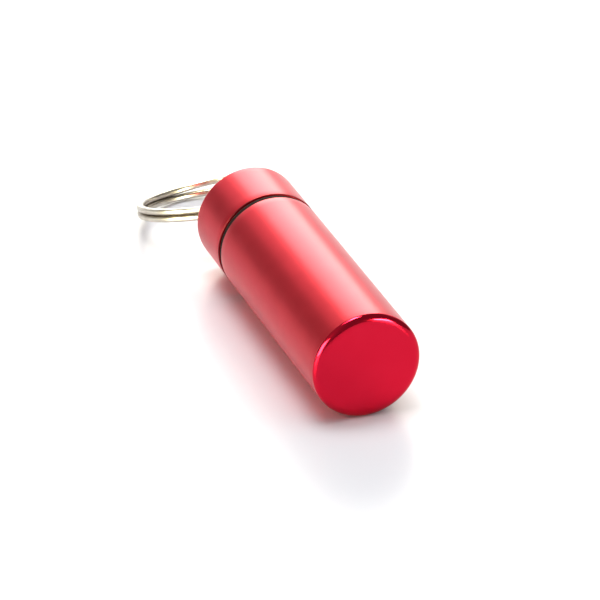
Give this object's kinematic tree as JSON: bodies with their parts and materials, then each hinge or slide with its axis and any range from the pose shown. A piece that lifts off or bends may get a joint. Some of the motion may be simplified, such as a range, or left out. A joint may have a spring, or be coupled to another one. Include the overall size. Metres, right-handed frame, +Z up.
{
  "type": "screw-top pill fob",
  "caption": "Pocket pill holder: a turned aluminium tube closed by a screw cap with a squeezed rubber seal, hung from a split key ring through a drilled lug.",
  "frame": {"origin": "centre of the bounding box's underside, on the surface that the fob lies on, under the middle of its length", "axes": "+Z up; +Y along the barrel's axis, from the container's closed end towards the cap and key ring; +X to the right, seen from the closed end"},
  "size_m": [0.02, 0.0654, 0.014],
  "materials": {
    "red_anodised_aluminium": "satin turned sides, bright-turned closed end and edge rounds, dyed anodising",
    "black_rubber": "matte, slightly greased",
    "nickel_plated_steel": "bright nickel plate over spring steel wire"
  },
  "bodies": {
    "container": {"container": "red_anodised_aluminium"},
    "seal": {"seal": "black_rubber"},
    "cap": {"cap": "red_anodised_aluminium"},
    "split_ring": {"split_ring": "nickel_plated_steel"}
  },
  "joints": [
    {"name": "seal_travel", "type": "slide", "parent": "container", "child": "seal", "axis": [0, 1, 0], "range_m": [0, 0.012]},
    {"name": "cap_turn", "type": "hinge", "parent": "seal", "child": "cap", "pos_m": [0.00101, 0.00276, 0.007], "axis": [0, 1, 0], "range_deg": [0, 4320]},
    {"name": "ring_swing", "type": "hinge", "parent": "cap", "child": "split_ring", "pos_m": [0.00101, 0.01416, 0.007], "axis": [1, 0, 0], "range_deg": [-100, 130]}
  ],
  "couplings": [
    {"joint": "seal_travel", "follows": "cap_turn", "m_per_rad": 0.00015915}
  ]
}
